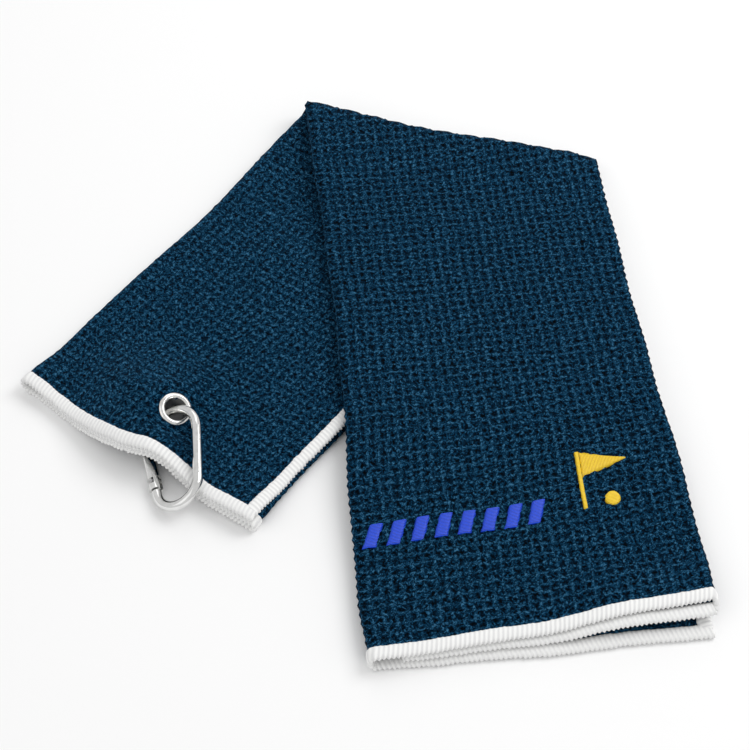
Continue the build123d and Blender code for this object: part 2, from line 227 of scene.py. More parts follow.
# Middle of the cloth on the front leg; layer 0 is the outer panel on top.
def frontPoint(along, across, layer):
    share = np.clip(across / strip["width"], 0, 1)
    below = np.clip(layer - 1, 0, 1)      # 1 on the free panel, which lies lowest here
    top, middle, bottom = [mixed(share, left, right) for left, right in frontEnd["slip"]]
    slip = np.where(layer < 1, mixed(layer, top, middle), mixed(layer - 1, middle, bottom))
    slip = slip * eased(along, (frontEnd["slipFrom"], strip["frontLeg"]))
    left, right = frontEnd["flare"]
    spread = eased(along, frontEnd["flareSpan"])
    spread = spread * (1 - frontEnd["flareBack"] * eased(along, frontEnd["flareBackSpan"]))
    bulge = ease(1 - across / openFold["width"]) * (1 - eased(along, openFold["frontSpan"]))
    across = across + spread * (mixed(share, left, right) - frontEnd["lowerIn"] * share * below)
    across = across - openFold["frontBulge"] * bulge
    sloped = (strip["frontLeg"] - along) / (strip["frontLeg"] - strip["frontFlat"])
    lift = (stackHeight + strip["foldGap"]) * np.minimum(sloped, 1.0)
    near = eased(along, (strip["frontLeg"] - frontEnd["mouth"], strip["frontLeg"]))
    gapeLeft = frontEnd["gapeLeft"] * ease(1 - across / frontEnd["gapeWidth"])
    gape = near * (frontEnd["gapeRight"] * eased(across, frontEnd["gapeAcross"]) + gapeLeft)
    puffed = 2 * puffOf(across) * (1 - eased(along, openFold["puffSpan"]))
    pitch = strip["pitch"] + frontEnd["mouthPitch"] * near
    height = lift + (2 - layer) * pitch + strip["thickness"] / 2
    height = height + frontEnd["mouthRise"] * near + gape * np.clip(2 - layer, 0, 1) + puffed
    place = np.column_stack((across, -(along + slip))) + np.array(strip["foldSpot"])
    return np.column_stack((place, height))


# A point of the strip, lengthwise from the clip end, and how far it has turned over the fold.
def stripPoint(lengthwise, across, layer):
    spread = np.broadcast_arrays(lengthwise, across, layer)
    lengthwise, across, layer = (np.asarray(v, float) for v in spread)
    give = strip["foldReach"]
    foldLine = strip["clipLeg"] + across * tanFold
    radius = foldHeight - strip["thickness"] / 2 - strip["pitch"] * layer
    arc = np.pi * radius
    share = np.clip((lengthwise - foldLine + give) / (2 * give), 0, 1)
    travel = share * (2 * give + arc)
    clipBent = -across * tanFold + give - travel
    frontBent = across * tanFold + travel - give - arc
    clipAlong = np.where(share <= 0, strip["clipLeg"] - lengthwise, clipBent)
    frontAlong = np.where(share >= 1, lengthwise - strip["clipLeg"], frontBent)
    theta = np.clip((travel - give) / arc, 0, 1) * np.pi
    points = np.empty(lengthwise.shape + (3,))
    onClip, onFront = travel <= give, travel >= give + arc
    bent = ~(onClip | onFront)
    points[onClip] = clipPoint(clipAlong[onClip], across[onClip], layer[onClip])
    points[onFront] = frontPoint(frontAlong[onFront], across[onFront], layer[onFront])
    wider = puffOf(across[bent]) * np.clip(radius[bent] / openFold["puffRadius"], 0, 1)
    ring = radius[bent] + wider
    bulge = mixed(theta[bent] / np.pi, openFold["clipBulge"], openFold["frontBulge"])
    outward = ease(1 - across[bent] / openFold["width"]) * bulge
    hinge = np.outer((across[bent] - outward) / math.cos(turn / 2), slantDir) + np.array(strip["foldSpot"])
    hinge = hinge + np.outer(ring * np.sin(theta[bent]), outDir)
    points[bent] = np.column_stack((hinge, foldHeight + wider - ring * np.cos(theta[bent])))
    return points, theta / np.pi


leftRadius = strip["pitch"]
rightRadius = strip["pitch"] / 2
half = strip["thickness"] / 2
runs = [
    ("free", strip["width"] - half - leftRadius - strip["freeInset"]),
    ("left", math.pi * leftRadius),
    ("outer", strip["width"] - 2 * half - leftRadius - rightRadius),
    ("right", math.pi * rightRadius),
    ("middle", strip["width"] - half - rightRadius - strip["innerEdge"]),
]
flatWidth = sum(length for _, length in runs)


# Place across the strip and layer, for a place across the unfolded cloth from its free hem.
def acrossOf(flat):
    flat = np.asarray(flat, float)
    across, layer = np.zeros_like(flat), np.zeros_like(flat)
    start, touching = 0.0, 1e-6
    for name, length in runs:
        on = (flat >= start - touching) & (flat <= start + length + touching)
        t = np.clip((flat - start) / length, 0, 1)
        rounded = 1 - np.sin(np.pi * t)
        if name == "free":
            place, depth = strip["width"] - strip["freeInset"] - t * length, np.full_like(t, 2.0)
        elif name == "left":
            place, depth = half + leftRadius * rounded, 1 + np.cos(np.pi * t)
        elif name == "outer":
            place, depth = half + leftRadius + t * length, np.zeros_like(t)
        elif name == "right":
            place, depth = strip["width"] - half - rightRadius * rounded, (1 - np.cos(np.pi * t)) / 2
        else:
            place, depth = strip["width"] - half - rightRadius - t * length, np.ones_like(t)
        across, layer = np.where(on, place, across), np.where(on, depth, layer)
        start += length
    return across, layer


waves = {"slow": 0.45, "quick": 0.3}      # how far each moves the cloth


# Slow and quick waves, so that no part of the cloth is dead straight.
def sag(points):
    x, y = points[..., 0], points[..., 1]
    slow, quick = waves["slow"], waves["quick"]
    out = points.copy()
    out[..., 0] += slow * np.sin(y / 21 + 0.7) * np.cos(x / 33) + quick * np.sin(y / 9.3 + x / 40)
    out[..., 1] += slow * np.sin(x / 18 + 1.1) + quick * np.sin(x / 8.1 + y / 37)
    return out


def normalsOf(grid):
    down = np.gradient(grid, axis=0)
    right = np.gradient(grid, axis=1)
    normal = np.cross(right, down)
    return normal / np.maximum(np.linalg.norm(normal, axis=2, keepdims=True), 1e-9)


def meshFrom(name, points, faces, uvs=None):
    data = bpy.data.meshes.new(name)
    data.from_pydata([tuple(p) for p in np.asarray(points, float) * mm], [], faces)
    data.validate()
    obj = bpy.data.objects.new(name, data)
    bpy.context.scene.collection.objects.link(obj)
    data.polygons.foreach_set("use_smooth", [True] * len(data.polygons))
    if uvs is not None:
        layer = data.uv_layers.new(name="weave")
        corner = np.empty(len(data.loops), np.int64)
        data.loops.foreach_get("vertex_index", corner)
        layer.data.foreach_set("uv", np.asarray(uvs, float)[corner].astype(np.float32).ravel())
    data.update()
    return obj


# Each point is first set to how far it has turned over the fold and the object's transform is baked in,
# then its place is put back.
def bendOver(obj, turned, points):
    shares = np.zeros((len(turned), 3), np.float32)
    shares[:, 0] = turned
    obj.data.vertices.foreach_set("co", shares.ravel())
    obj.data.update()
    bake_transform(obj)
    obj.data.vertices.foreach_set("co", (points * mm).astype(np.float32).ravel())
    obj.data.update()


# shared shader groups

def groupOf(name, inputs, outputs):
    tree = bpy.data.node_groups.new(name, "ShaderNodeTree")
    for label, kind, value in inputs:
        socket = tree.interface.new_socket(name=label, in_out="INPUT", socket_type=kind)
        if value is not None:
            socket.default_value = value
    for label, kind in outputs:
        tree.interface.new_socket(name=label, in_out="OUTPUT", socket_type=kind)
    return tree, tree.nodes.new("NodeGroupInput"), tree.nodes.new("NodeGroupOutput")


def maths(tree, operation, a, b=None, c=None):
    node = tree.nodes.new("ShaderNodeMath")
    node.operation = operation
    for i, value in enumerate((a, b, c)):
        if value is None:
            continue
        if isinstance(value, (int, float)):
            node.inputs[i].default_value = value
        else:
            tree.links.new(value, node.inputs[i])
    return node.outputs[0]


waffle = {
    "wanderScale": 0.9,       # sizes in cells
    "wander": 0.55,
    "start": 0.08,
    "ribBlend": 0.3,
    "ribPower": 0.75,
    "threads": 9.0,           # in one cell
    "threadHeight": 0.08,
    "threadTone": 0.06,
    "fibreScale": 3.6,
    "fibreRoughness": 0.75,
    "fibreTwist": 0.6,
    "fibreHeight": 1.2,
}


# Cells of a waffle weave: raised thread ribs round sunk squares, with fibres on the ribs.
def waffleGroup():
    given = [("UV", "NodeSocketVector", None), ("Threads", "NodeSocketFloat", waffle["threads"])]
    made = [("Rib", "NodeSocketFloat"), ("Height", "NodeSocketFloat"), ("Fleck", "NodeSocketFloat")]
    tree, given, out = groupOf("waffleWeave", given, made)
    wobble = tree.nodes.new("ShaderNodeTexNoise")
    wobble.inputs["Scale"].default_value = waffle["wanderScale"]
    wobble.inputs["Detail"].default_value = 2.0
    tree.links.new(given.outputs["UV"], wobble.inputs["Vector"])
    shift = tree.nodes.new("ShaderNodeVectorMath")
    shift.operation = "MULTIPLY_ADD"
    tree.links.new(wobble.outputs["Color"], shift.inputs[0])
    shift.inputs[1].default_value = (waffle["wander"], waffle["wander"], 0)
    tree.links.new(given.outputs["UV"], shift.inputs[2])
    split = tree.nodes.new("ShaderNodeSeparateXYZ")
    tree.links.new(shift.outputs[0], split.inputs[0])
    sides = []
    for axis in (0, 1):
        near = maths(tree, "FRACT", maths(tree, "SUBTRACT", split.outputs[axis], waffle["start"]))
        near = maths(tree, "ABSOLUTE", maths(tree, "SUBTRACT", near, 0.5))
        sides.append(maths(tree, "MULTIPLY", near, 2.0))    # 1 on a rib, 0 in the middle of the cell
    rib = maths(tree, "SMOOTH_MAX", sides[0], sides[1], waffle["ribBlend"])
    rib = maths(tree, "POWER", rib, waffle["ribPower"])
    fibres = tree.nodes.new("ShaderNodeTexNoise")
    fibres.inputs["Scale"].default_value = waffle["fibreScale"]
    fibres.inputs["Detail"].default_value = 4.0
    fibres.inputs["Roughness"].default_value = waffle["fibreRoughness"]
    fibres.inputs["Distortion"].default_value = waffle["fibreTwist"]
    tree.links.new(given.outputs["UV"], fibres.inputs["Vector"])
    lines = []
    for axis in (0, 1):
        phase = maths(tree, "MULTIPLY", split.outputs[axis], given.outputs["Threads"])
        lines.append(maths(tree, "SINE", maths(tree, "MULTIPLY", phase, 2 * math.pi)))
    across = maths(tree, "MULTIPLY", lines[0], sides[1])
    along = maths(tree, "MULTIPLY", lines[1], sides[0])
    threads = maths(tree, "ADD", across, along)
    height = maths(tree, "MULTIPLY_ADD", threads, waffle["threadHeight"], rib)
    height = maths(tree, "MULTIPLY_ADD", fibres.outputs["Fac"], waffle["fibreHeight"], height)
    fleck = maths(tree, "MULTIPLY_ADD", threads, waffle["threadTone"], fibres.outputs["Fac"])
    # Rib is the relief mask; the cloth material also paints shade with it, darker in the sunk cells.
    tree.links.new(rib, out.inputs["Rib"])
    tree.links.new(height, out.inputs["Height"])
    tree.links.new(fleck, out.inputs["Fleck"])
    return tree


# ridge sets the stitch wave, which makes both the stitches' bump and their painted shade between stitches
sewing = {"perStitch": 1.0, "fuzzScale": 2.2, "ridge": 0.5, "toneAt": (0.1, 0.8), "bumpDepth": 0.0002}


# Fine parallel threads along V, with a little fuzz.
def threadGroup():
    given = [("UV", "NodeSocketVector", None), ("Per Unit", "NodeSocketFloat", sewing["perStitch"])]
    made = [("Shade", "NodeSocketFloat"), ("Height", "NodeSocketFloat")]
    tree, given, out = groupOf("sewingThread", given, made)
    split = tree.nodes.new("ShaderNodeSeparateXYZ")
    tree.links.new(given.outputs["UV"], split.inputs[0])
    phase = maths(tree, "MULTIPLY", split.outputs[0], given.outputs["Per Unit"])
    phase = maths(tree, "MULTIPLY", phase, 2 * math.pi)
    wave = maths(tree, "SINE", phase)
    fuzz = tree.nodes.new("ShaderNodeTexNoise")
    fuzz.inputs["Scale"].default_value = sewing["fuzzScale"]
    fuzz.inputs["Detail"].default_value = 4.0
    tree.links.new(given.outputs["UV"], fuzz.inputs["Vector"])
    height = maths(tree, "MULTIPLY_ADD", wave, sewing["ridge"], fuzz.outputs["Fac"])
    tree.links.new(height, out.inputs["Height"])
    tree.links.new(fuzz.outputs["Fac"], out.inputs["Shade"])
    return tree


polish = {
    "scale": 400.0,
    "stretch": (1.0, 9.0, 5.0),
    "toneAt": (0.3, 0.7),
    "bump": 0.015,
    "bumpDepth": 0.00005,
}


# Hairline scratches and cloudy wear on polished metal.
def metalGroup():
    given = [("Vector", "NodeSocketVector", None), ("Scale", "NodeSocketFloat", polish["scale"])]
    made = [("Cloud", "NodeSocketFloat"), ("Scratch", "NodeSocketFloat")]
    tree, given, out = groupOf("polishedWear", given, made)
    cloud = tree.nodes.new("ShaderNodeTexNoise")
    tree.links.new(given.outputs["Vector"], cloud.inputs["Vector"])
    tree.links.new(given.outputs["Scale"], cloud.inputs["Scale"])
    cloud.inputs["Detail"].default_value = 6.0
    stretch = tree.nodes.new("ShaderNodeMapping")
    stretch.inputs["Scale"].default_value = polish["stretch"]
    tree.links.new(given.outputs["Vector"], stretch.inputs["Vector"])
    scratch = tree.nodes.new("ShaderNodeTexNoise")
    tree.links.new(stretch.outputs[0], scratch.inputs["Vector"])
    tree.links.new(given.outputs["Scale"], scratch.inputs["Scale"])
    scratch.inputs["Detail"].default_value = 8.0
    tree.links.new(cloud.outputs["Fac"], out.inputs["Cloud"])
    tree.links.new(scratch.outputs["Fac"], out.inputs["Scratch"])
    return tree


groups = {"waffle": waffleGroup(), "thread": threadGroup(), "metal": metalGroup()}


def newMaterial(name):
    material = bpy.data.materials.new(name)
    material.use_nodes = True
    tree = material.node_tree
    return material, tree, tree.nodes["Principled BSDF"]


def placed(tree, group):
    node = tree.nodes.new("ShaderNodeGroup")
    node.node_tree = groups[group]
    return node


def ramp(tree, source, stops):
    node = tree.nodes.new("ShaderNodeValToRGB")
    while len(node.color_ramp.elements) < len(stops):
        node.color_ramp.elements.new(0.5)
    for element, (at, colour) in zip(node.color_ramp.elements, stops):
        element.position = at
        element.color = (*colour, 1)
    tree.links.new(source, node.inputs[0])
    return node.outputs[0]


# A screen colour, 0 to 255, as the shader wants it.
def linear(*rgb):
    shares = [v / 255 for v in rgb]
    return tuple(v / 12.92 if v <= 0.04045 else ((v + 0.055) / 1.055) ** 2.4 for v in shares)


clothLook = {
    "fleck": 3.4,             # how far fibres and ribs move the colour along the ramp; the fibres give the cloth's own uneven tone, the ribs painted shade
    # painted shade: how much the rib mask darkens the sunk cells and lightens the ribs
    "rib": 0.46,
    "start": -1.55,
    # dark end: painted shade in the sunk cells and dark fibres; light end: painted light on the ribs
    "ramp": [
        (0.18, linear(0, 4, 8)),
        (0.52, linear(2, 35, 58)),
        (0.80, linear(17, 72, 107)),
        (1.0, linear(64, 118, 152)),
    ],
    "bump": 0.9,
    "bumpDepth": 0.0006,
    "roughness": 0.92,
    "sheen": 0.03,
    "sheenTint": linear(90, 130, 160),
    "shine": 0.04,
}


def clothMaterial():
    material, tree, shader = newMaterial("waffleMicrofibre")
    uv = tree.nodes.new("ShaderNodeUVMap")
    uv.uv_map = "weave"
    weave = placed(tree, "waffle")
    tree.links.new(uv.outputs[0], weave.inputs["UV"])
    # The rib mask paints shade into the colour, darker in the sunk cells and lighter on the ribs; the
    # fleck is the cloth's own fibre tone.
    paintedCellShade = maths(tree, "MULTIPLY_ADD", weave.outputs["Rib"], clothLook["rib"], clothLook["start"])
    fibreToneAndPaintedShade = maths(tree, "MULTIPLY_ADD", weave.outputs["Fleck"], clothLook["fleck"], paintedCellShade)
    colour = ramp(tree, fibreToneAndPaintedShade, clothLook["ramp"])
    tree.links.new(colour, shader.inputs["Base Color"])
    bump = tree.nodes.new("ShaderNodeBump")
    bump.inputs["Strength"].default_value = clothLook["bump"]
    bump.inputs["Distance"].default_value = clothLook["bumpDepth"]
    tree.links.new(weave.outputs["Height"], bump.inputs["Height"])
    tree.links.new(bump.outputs[0], shader.inputs["Normal"])
    shader.inputs["Roughness"].default_value = clothLook["roughness"]
    shader.inputs["Sheen Weight"].default_value = clothLook["sheen"]
    shader.inputs["Sheen Tint"].default_value = (*clothLook["sheenTint"], 1)
    shader.inputs["Specular IOR Level"].default_value = clothLook["shine"]
    return material


def threadMaterial(name, dark, light, roughness, strength):
    material, tree, shader = newMaterial(name)
    uv = tree.nodes.new("ShaderNodeUVMap")
    uv.uv_map = "weave"
    thread = placed(tree, "thread")
    thread.inputs["Per Unit"].default_value = sewing["perStitch"]
    tree.links.new(uv.outputs[0], thread.inputs["UV"])
    # The stitch wave paints shade into the colour, darker in the grooves between stitches and between
    # satin threads; the fuzz is the thread's own uneven tone.
    colour = ramp(tree, thread.outputs["Height"], list(zip(sewing["toneAt"], (dark, light))))
    tree.links.new(colour, shader.inputs["Base Color"])
    bump = tree.nodes.new("ShaderNodeBump")
    bump.inputs["Strength"].default_value = strength
    bump.inputs["Distance"].default_value = sewing["bumpDepth"]
    tree.links.new(thread.outputs["Height"], bump.inputs["Height"])
    tree.links.new(bump.outputs[0], shader.inputs["Normal"])
    shader.inputs["Roughness"].default_value = roughness
    return material


def metalMaterial(name, dark, light, low, high):
    material, tree, shader = newMaterial(name)
    where = tree.nodes.new("ShaderNodeTexCoord")
    wear = placed(tree, "metal")
    tree.links.new(where.outputs["Object"], wear.inputs["Vector"])
    colour = ramp(tree, wear.outputs["Cloud"], list(zip(polish["toneAt"], (dark, light))))
    tree.links.new(colour, shader.inputs["Base Color"])
    rough = tree.nodes.new("ShaderNodeMapRange")
    rough.inputs["To Min"].default_value = low
    rough.inputs["To Max"].default_value = high
    tree.links.new(wear.outputs["Scratch"], rough.inputs["Value"])
    tree.links.new(rough.outputs[0], shader.inputs["Roughness"])
    bump = tree.nodes.new("ShaderNodeBump")
    bump.inputs["Strength"].default_value = polish["bump"]
    bump.inputs["Distance"].default_value = polish["bumpDepth"]
    tree.links.new(wear.outputs["Scratch"], bump.inputs["Height"])
    tree.links.new(bump.outputs[0], shader.inputs["Normal"])
    shader.inputs["Metallic"].default_value = 1.0
    return material


# Threads: tone in the painted shade between stitches and on the stitches, roughness, bump. Metals: dark
# and light tone, least and most roughness.
finish = {
    "cloth": clothMaterial(),
    "edging": threadMaterial("overlockThread", (0.76, 0.76, 0.76), (0.90, 0.90, 0.89), 0.8, 0.35),
    "blue": threadMaterial("blueSatinThread", linear(8, 34, 140), linear(26, 82, 236), 0.38, 0.6),
    "yellow": threadMaterial("yellowSatinThread", linear(214, 160, 10), linear(255, 222, 44), 0.38, 0.6),
    "eyelet": metalMaterial("platedEyelet", (0.72, 0.72, 0.70), (0.86, 0.86, 0.84), 0.10, 0.22),
    "carabiner": metalMaterial("polishedSteel", (0.74, 0.74, 0.73), (0.84, 0.84, 0.83), 0.06, 0.12),
    "spring": metalMaterial("springSteel", (0.36, 0.36, 0.37), (0.55, 0.55, 0.55), 0.2, 0.4),
}
print("stage: materials")


# the cloth

cloth = {
    "columns": 184,           # across the unfolded cloth
    "rows": 240,
    "cell": 2,                # columns and rows to a waffle cell
    "body": 0.95,             # thickness between the two faces
    "rib": 0.42,              # how far ribs stand up and cells sink, times the three shares below
    "ribShare": 0.75,
    "crossingShare": 0.25,    # added where two ribs cross
    "cellShare": -1.15,
    "uneven": 0.25,
    "probe": 10,              # the row and column that tell which face is the outer one
    "pressed": 0.1,           # the relief left near the edge, under the edging
    "edgeBand": (4.2, 6.7),
    "tuck": 1.4,              # the cloth ends this far inside its edging
    "floorGap": 0.05,
}


# How far each point of the cloth stands up or sinks.
def reliefOf(flat, lengthwise):
    even = np.arange(len(flat)) % cloth["cell"] == 0
    evenRow = np.arange(len(lengthwise))[:, None] % cloth["cell"] == 0
    relief = np.where(evenRow | even, cloth["ribShare"], cloth["cellShare"])
    relief = relief + np.where(evenRow & even, cloth["crossingShare"], 0)
    relief = relief * cloth["rib"] * (1 + cloth["uneven"] * rng.standard_normal(relief.shape))
    fromSide = np.minimum(flat, flatWidth - flat)[None, :]
    fromEnd = np.minimum(lengthwise, strip["length"] - lengthwise)[:, None]
    full = eased(np.minimum(fromSide, fromEnd), cloth["edgeBand"])
    return relief * mixed(full, cloth["pressed"], 1)


# Which squares of the cloth are there: those round the eyelet's axis are left out.
def solidSquares(points):
    off = points - eye["centre"]
    rise = off @ eye["axis"]
    reach = np.linalg.norm(off - rise[..., None] * eye["axis"], axis=2)
    reach = np.where(np.abs(rise) < eye["near"], reach, np.inf)
    middle = (reach[:-1, :-1] + reach[1:, :-1] + reach[:-1, 1:] + reach[1:, 1:]) / 4
    return middle >= eye["hole"]


# Both faces of the cloth and the walls round every edge; tops has the corners of the upper squares.
def facesOf(tops, count):
    faces = tops.tolist() + (tops[:, ::-1] + count).tolist()
    seen = {}
    for quad in tops.tolist():
        for i in range(4):
            seen[(quad[i], quad[(i + 1) % 4])] = True
    for near, far in seen:
        if (far, near) not in seen:
            faces.append([far, near, near + count, far + count])
    return faces


def dropUnused(obj, used):
    spare = bmesh.new()
    spare.from_mesh(obj.data)
    spare.verts.ensure_lookup_table()
    unused = [spare.verts[int(i)] for i in np.flatnonzero(~used)]
    bmesh.ops.delete(spare, geom=unused, context="VERTS")
    spare.to_mesh(obj.data)
    spare.free()


def makeCloth():
    cols, rows = cloth["columns"], cloth["rows"]
    flat = np.linspace(cloth["tuck"], flatWidth - cloth["tuck"], cols + 1)
    lengthwise = np.linspace(cloth["tuck"], strip["length"] - cloth["tuck"], rows + 1)
    across, layer = acrossOf(flat)
    points, turned = stripPoint(lengthwise[:, None], across[None, :], layer[None, :])
    points = sag(points)
    normal = normalsOf(points)
    k = cloth["probe"]
    if normal[k, k, 2] < 0:       # the free panel's top is the outer face
        normal = -normal
    relief = reliefOf(flat, lengthwise)
    upper = points + normal * (cloth["body"] / 2 + relief)[..., None]
    lower = points + normal * (-cloth["body"] / 2 + relief)[..., None]
    everyPoint = np.concatenate((upper.reshape(-1, 3), lower.reshape(-1, 3)))
    everyPoint[:, 2] = np.maximum(everyPoint[:, 2], cloth["floorGap"])
    count = (rows + 1) * (cols + 1)
    index = np.arange(count).reshape(rows + 1, cols + 1)
    squares = np.stack((index[:-1, :-1], index[:-1, 1:], index[1:, 1:], index[1:, :-1]), axis=-1)
    tops = squares[solidSquares(points)]
    facing = np.cross(points[k, k + 1] - points[k, k], points[k + 1, k] - points[k, k])
    if np.dot(facing, normal[k, k]) < 0:
        tops = tops[:, ::-1]
    faces = facesOf(tops, count)
    u, v = np.meshgrid(np.arange(cols + 1) / cloth["cell"], np.arange(rows + 1) / cloth["cell"])
    uvs = np.column_stack((u.ravel(), v.ravel()))
    obj = meshFrom("towelCloth", everyPoint, faces, np.concatenate((uvs, uvs)))
    used = np.zeros(len(everyPoint), bool)
    used[np.unique(np.array(faces))] = True
    if not used.all():
        dropUnused(obj, used)
    turnedTwice = np.concatenate((turned.ravel(), turned.ravel()))
    bendOver(obj, turnedTwice[used], everyPoint[used])
    obj.data.materials.append(finish["cloth"])
    return obj


towelCloth = makeCloth()
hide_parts("towel_clip_half", "towel_front_half", "towel_fold")
print("stage: cloth")


# overlocked edging

edging = {
    "width": 6.0,
    "thickness": {"end": 2.5, "free": 2.4, "inner": 2.0},
    "overhang": 0.2,          # beyond the cloth's edge
    "stitch": 1.85,           # from one stitch to the next
    "ringsPerStitch": 5,
    "around": 14,
    "squareness": 0.75,       # of the section; 1 is an oval
    "endShare": 0.35,         # the first and last ring close up to this share
    "level": 0.7,             # of the stitch wave, where the size is the nominal one
    "bulge": (0.035, 0.175),  # of the thickness with the stitch wave, and more at the outer side
    "scallop": (0.04, 0.22),  # the same of the half width
    "uneven": 0.10,
    "unevenPower": 0.4,
    "slant": 0.30,
    "uvAround": 4,
    "endSamples": 900,        # points on the route that the rings are set out from
    "sideSamples": 1500,
    "floorGap": 0.02,
}


# A stitched edge swept along a row of points, with its stitches raised and slightly slanted.
def hem(name, centre, inward, normal, turned, thickness, bodyName=None):
    steps = np.linalg.norm(np.diff(centre, axis=0), axis=1)
    travel = np.concatenate(([0], np.cumsum(steps)))
    rings = max(8, int(travel[-1] / edging["stitch"] * edging["ringsPerStitch"]))
    at = np.linspace(0, travel[-1], rings)

    def resample(values):
        return np.column_stack([np.interp(at, travel, values[:, k]) for k in range(values.shape[1])])

    middle, inside, outside = resample(centre), resample(inward), resample(normal)
    inside /= np.linalg.norm(inside, axis=1, keepdims=True)
    outside /= np.linalg.norm(outside, axis=1, keepdims=True)
    tangent = np.gradient(middle, axis=0)
    tangent /= np.linalg.norm(tangent, axis=1, keepdims=True)
    turnedAt = np.interp(at, travel, turned)
    stitchNumber = at / edging["stitch"]
    stitches = int(stitchNumber[-1]) + 3
    draws = 1 + edging["uneven"] * rng.standard_normal(stitches)
    uneven = np.interp(stitchNumber, np.arange(stitches), draws)
    points, uvs, weights = [], [], []
    n = edging["around"]
    angle = np.arange(n) / n * 2 * np.pi
    side = np.sign(np.cos(angle)) * np.abs(np.cos(angle)) ** edging["squareness"]
    up = np.sign(np.sin(angle)) * np.abs(np.sin(angle)) ** edging["squareness"]
    outerSide = np.clip(-side, 0, 1)
    bulge = edging["bulge"][0] + edging["bulge"][1] * outerSide
    scallop = edging["scallop"][0] + edging["scallop"][1] * outerSide
    for k in range(rings):
        wave = 0.5 + 0.5 * math.cos(2 * math.pi * stitchNumber[k]) - edging["level"]
        closing = 1.0 if 0 < k < rings - 1 else edging["endShare"]
        wide = edging["width"] / 2 * closing * uneven[k] ** edging["unevenPower"]
        across = side * wide * (1 + scallop * wave)
        high = up * (thickness / 2) * closing * (1 + bulge * wave * uneven[k])
        lean = edging["slant"] * side * edging["stitch"]
        ring = middle[k] + np.outer(across, inside[k])
        points.append(ring + np.outer(high, outside[k]) + np.outer(lean, tangent[k]))
        weights.append(np.full(n, turnedAt[k]))
        uvs.append(np.column_stack((np.full(n, stitchNumber[k]), np.arange(n) / n * edging["uvAround"])))
    points = np.concatenate(points)
    points[:, 2] = np.maximum(points[:, 2], edging["floorGap"])
    faces = []
    for k in range(rings - 1):
        for i in range(n):
            j = (i + 1) % n
            faces.append([k * n + i, k * n + j, (k + 1) * n + j, (k + 1) * n + i])
    faces.append(list(range(n))[::-1])
    faces.append([(rings - 1) * n + i for i in range(n)])
    obj = meshFrom(name, points, faces, np.concatenate(uvs))
    outward = bmesh.new()
    outward.from_mesh(obj.data)
    bmesh.ops.recalc_face_normals(outward, faces=outward.faces[:])
    outward.to_mesh(obj.data)
    outward.free()
    if bodyName:
        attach(obj, bodyName)
    else:
        bendOver(obj, np.concatenate(weights), points)
    obj.data.materials.append(finish["edging"])
    return obj


# Centre line of an edging, its inward direction and its normal, from the cloth's own surface.
def edgeRows(lengthwise, flat, flatInward, lengthInward):
    across, layer = acrossOf(flat)
    here, turned = stripPoint(lengthwise, across, layer)
    here = sag(here)
    step = 1.0
    acrossIn, layerIn = acrossOf(flat + step * flatInward)
    inside = sag(stripPoint(lengthwise + step * lengthInward, acrossIn, layerIn)[0])
    inward = inside - here
    inward /= np.maximum(np.linalg.norm(inward, axis=1, keepdims=True), 1e-9)
    tangent = np.gradient(here, axis=0)
    normal = np.cross(tangent, inward)
    normal /= np.maximum(np.linalg.norm(normal, axis=1, keepdims=True), 1e-9)
    return here, inward, normal, turned


sideNodes = {
    "freeSideOverlock": ("clip_half_side_edging", "front_half_side_edging", "fold_side_edging"),
    "innerSideOverlock": ("clip_half_inner_edging", "front_half_inner_edging", "fold_inner_edging"),
}


def makeHems():
    pieces = {}
    inset = edging["width"] / 2 - edging["overhang"]
    thickness = edging["thickness"]
    flat = np.linspace(strip["freeInset"], flatWidth - strip["freeInset"], edging["endSamples"])
    for name, bodyName, lengthwise, way, node in (
            ("clipEndOverlock", "clip_half", inset, 1, "clip_end_edging"),
            ("frontEndOverlock", "front_half", strip["length"] - inset, -1, "front_end_edging")):
        centre, inward, normal, turned = edgeRows(np.full_like(flat, lengthwise), flat, 0, way)
        pieces[name] = hem(name, centre, inward, normal, turned, thickness["end"], bodyName)
        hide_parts(node)
    lengthwise = np.linspace(inset, strip["length"] - inset, edging["sideSamples"])
    for name, flatAt, way, thick in (
            ("freeSideOverlock", inset, 1, thickness["free"]),
            ("innerSideOverlock", flatWidth - inset, -1, thickness["inner"])):
        centre, inward, normal, turned = edgeRows(lengthwise, np.full_like(lengthwise, flatAt), way, 0)
        pieces[name] = hem(name, centre, inward, normal, turned, thick)
        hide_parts(*sideNodes[name])
    return pieces


hems = makeHems()
print("stage: edging")


# embroidery

stripes = {
    "count": 8,
    "width": 5.6,
    "step": 9.2,
    "height": 10.4,
    "slant": 3.8,
    "fromLeft": 3.4,
    "fromEnd": 50.0,
}
flag = {
    "fromLeft": 91.0,
    "fromEnd": 52.5,
    "pole": 28.0,
    "poleWidth": 1.8,
    "length": 20.0,
    "height": 13.0,
    "taper": 0.97,            # 1 is a sharp tip
    "ball": 6.5,
    "ballAt": 0.6,            # as a share of the length
    "ballFlat": 0.02,         # keeps the ball's first and last stitches from having no length
}
satin = {
    "thread": 0.62,
    "crown": 0.8,
    "sink": 0.45,
    "ripple": 0.2,
    "along": 9,               # points along a thread
    "uvAlong": 4,
    "perThread": 3,
    "sideRound": 4,           # a higher power is a flatter top with sharper shoulders
    "endRound": 24,
}


# A point on top of the front leg, that high above its mean surface.
def layOnCloth(across, fromEnd, height):
    along = strip["frontLeg"] - fromEnd
    base = sag(frontPoint(along, across, np.zeros_like(along)))
    ahead = sag(frontPoint(along + 1, across, np.zeros_like(along)))
    slope = ahead - base
    slope /= np.linalg.norm(slope, axis=1, keepdims=True)
    normal = np.cross(np.array((1.0, 0, 0)), -slope)
    normal *= np.sign(normal[:, 2:3])
    return base + normal * (height + cloth["body"] / 2)[:, None]


